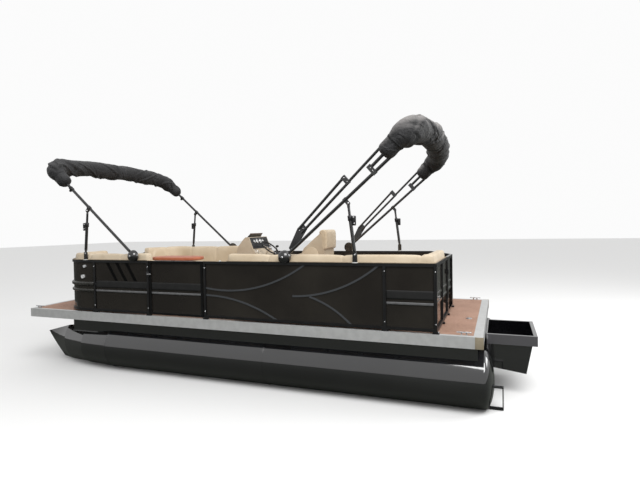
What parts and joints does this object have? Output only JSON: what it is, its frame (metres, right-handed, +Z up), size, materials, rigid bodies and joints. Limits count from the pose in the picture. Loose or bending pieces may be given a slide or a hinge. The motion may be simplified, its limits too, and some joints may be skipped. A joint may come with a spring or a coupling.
{
  "type": "pontoon boat",
  "caption": "Open pontoon boat on two round tubes with a fenced deck, three gates, lounges, a helm, a motor pod and two folded canopies.",
  "frame": {"origin": "on the ground below the middle of the boat", "axes": "+X to the bow, +Y to port, +Z up"},
  "size_m": [7.1598, 2.81, 3.278],
  "materials": {
    "aluminium_black": "gloss",
    "fence_frame": "satin",
    "fence_panel": "gloss",
    "mill_aluminium": "satin",
    "deck_plywood": "matte",
    "woven_vinyl": "matte",
    "upholstery": "satin",
    "moulded_plastic": "satin",
    "black_plastic": "satin",
    "table_top": "satin",
    "dark_acrylic": "gloss",
    "canvas": "matte",
    "lamp": "gloss",
    "steel": "satin"
  },
  "bodies": {
    "hull": {"pontoon_port": "aluminium_black", "pontoon_starboard": "aluminium_black", "pontoon_risers": "aluminium_black", "cross_members": "aluminium_black", "deck_board": "deck_plywood", "deck_floor": "woven_vinyl", "deck_trim": "mill_aluminium", "motor_pod": "aluminium_black", "stern_brackets": "aluminium_black", "fence_port_forward_frame": "fence_frame", "fence_port_forward_panel": "fence_panel", "fence_port_aft_frame": "fence_frame", "fence_port_aft_panel": "fence_panel", "fence_starboard_frame": "fence_frame", "fence_starboard_panel": "fence_panel", "gate_hinges": "steel", "docking_lights": "lamp", "bow_lounge_bases": "moulded_plastic", "bow_corner_seats": "upholstery", "bow_backrests": "upholstery", "port_lounge_base": "moulded_plastic", "port_corner_seat": "upholstery", "port_backrest": "upholstery", "table": "table_top", "helm_console": "moulded_plastic", "windscreen": "dark_acrylic", "helm_seat_post": "steel", "canopy_brackets": "black_plastic", "cleats": "steel"},
    "side_gate": {"side_gate": "fence_frame"},
    "bow_gate": {"bow_gate": "fence_frame"},
    "aft_gate": {"aft_gate": "fence_frame"},
    "bow_port_seat": {"bow_lid_port": "upholstery"},
    "bow_starboard_seat": {"bow_lid_starboard": "upholstery"},
    "port_lounge_seat": {"port_lounge_lid": "upholstery"},
    "steering_wheel": {"steering_wheel": "black_plastic"},
    "helm_seat": {"helm_seat_shell": "moulded_plastic", "helm_seat_pad": "upholstery", "helm_back_pad": "upholstery"},
    "front_canopy": {"front_canopy_bow": "fence_frame", "front_canopy_boot": "canvas"},
    "front_brace": {"front_brace_tubes": "fence_frame"},
    "front_brace_rod": {"front_brace_rods": "fence_frame"},
    "rear_canopy": {"rear_canopy_bow": "fence_frame", "rear_canopy_boot": "canvas"},
    "rear_brace": {"rear_brace_tubes": "fence_frame"},
    "rear_brace_rod": {"rear_brace_rods": "fence_frame"}
  },
  "joints": [
    {"name": "side_gate_swing", "type": "hinge", "parent": "hull", "child": "side_gate", "pos_m": [0.3515, 1.222, 1.22], "axis": [0, 0, -1], "range_deg": [0, 90]},
    {"name": "bow_gate_swing", "type": "hinge", "parent": "hull", "child": "bow_gate", "pos_m": [2.894, -0.3945, 1.22], "axis": [0, 0, -1], "range_deg": [0, 90]},
    {"name": "aft_gate_swing", "type": "hinge", "parent": "hull", "child": "aft_gate", "pos_m": [-2.524, -0.4485, 1.22], "axis": [0, 0, -1], "range_deg": [0, 90]},
    {"name": "bow_port_lid", "type": "hinge", "parent": "hull", "child": "bow_port_seat", "pos_m": [1.834, 1.0937, 1.29], "axis": [-1, 0, 0], "range_deg": [0, 80]},
    {"name": "bow_starboard_lid", "type": "hinge", "parent": "hull", "child": "bow_starboard_seat", "pos_m": [1.834, -1.0937, 1.29], "axis": [1, 0, 0], "range_deg": [0, 80]},
    {"name": "port_lounge_lid", "type": "hinge", "parent": "hull", "child": "port_lounge_seat", "pos_m": [-0.9, 1.0937, 1.29], "axis": [-1, 0, 0], "range_deg": [0, 80]},
    {"name": "steering", "type": "hinge", "parent": "hull", "child": "steering_wheel", "pos_m": [0.46, -0.82, 1.662], "axis": [-0.6428, 0, 0.766], "range_deg": [-580, 580]},
    {"name": "helm_seat_swivel", "type": "hinge", "parent": "hull", "child": "helm_seat", "pos_m": [-0.46, -0.74, 1.19], "axis": [0, 0, 1], "continuous": true},
    {"name": "front_canopy_swing", "type": "hinge", "parent": "hull", "child": "front_canopy", "pos_m": [1.473, 0, 1.65], "axis": [0, -1, 0], "range_deg": [-5, 6]},
    {"name": "front_brace_swing", "type": "hinge", "parent": "hull", "child": "front_brace", "pos_m": [2.352, 0, 1.68], "axis": [0, -1, 0], "range_deg": [-4.6, 5.5]},
    {"name": "front_brace_slide", "type": "slide", "parent": "front_brace", "child": "front_brace_rod", "axis": [-0.0955, 0, 0.9954], "range_m": [-0.08, 0.095]},
    {"name": "rear_canopy_swing", "type": "hinge", "parent": "hull", "child": "rear_canopy", "pos_m": [-0.806, 0, 1.65], "axis": [0, 1, 0], "range_deg": [-5, 6]},
    {"name": "rear_brace_swing", "type": "hinge", "parent": "hull", "child": "rear_brace", "pos_m": [-1.672, 0, 1.68], "axis": [0, 1, 0], "range_deg": [-4.7, 5.6]},
    {"name": "rear_brace_slide", "type": "slide", "parent": "rear_brace", "child": "rear_brace_rod", "axis": [0.118, 0, 0.993], "range_m": [-0.08, 0.095]}
  ],
  "couplings": [
    {"joint": "front_brace_swing", "follows": "front_canopy_swing", "ratio": 0.9018},
    {"joint": "front_brace_slide", "follows": "front_canopy_swing", "m_per_rad": 0.8766},
    {"joint": "rear_brace_swing", "follows": "rear_canopy_swing", "ratio": 0.8656},
    {"joint": "rear_brace_slide", "follows": "rear_canopy_swing", "m_per_rad": 0.8621}
  ]
}
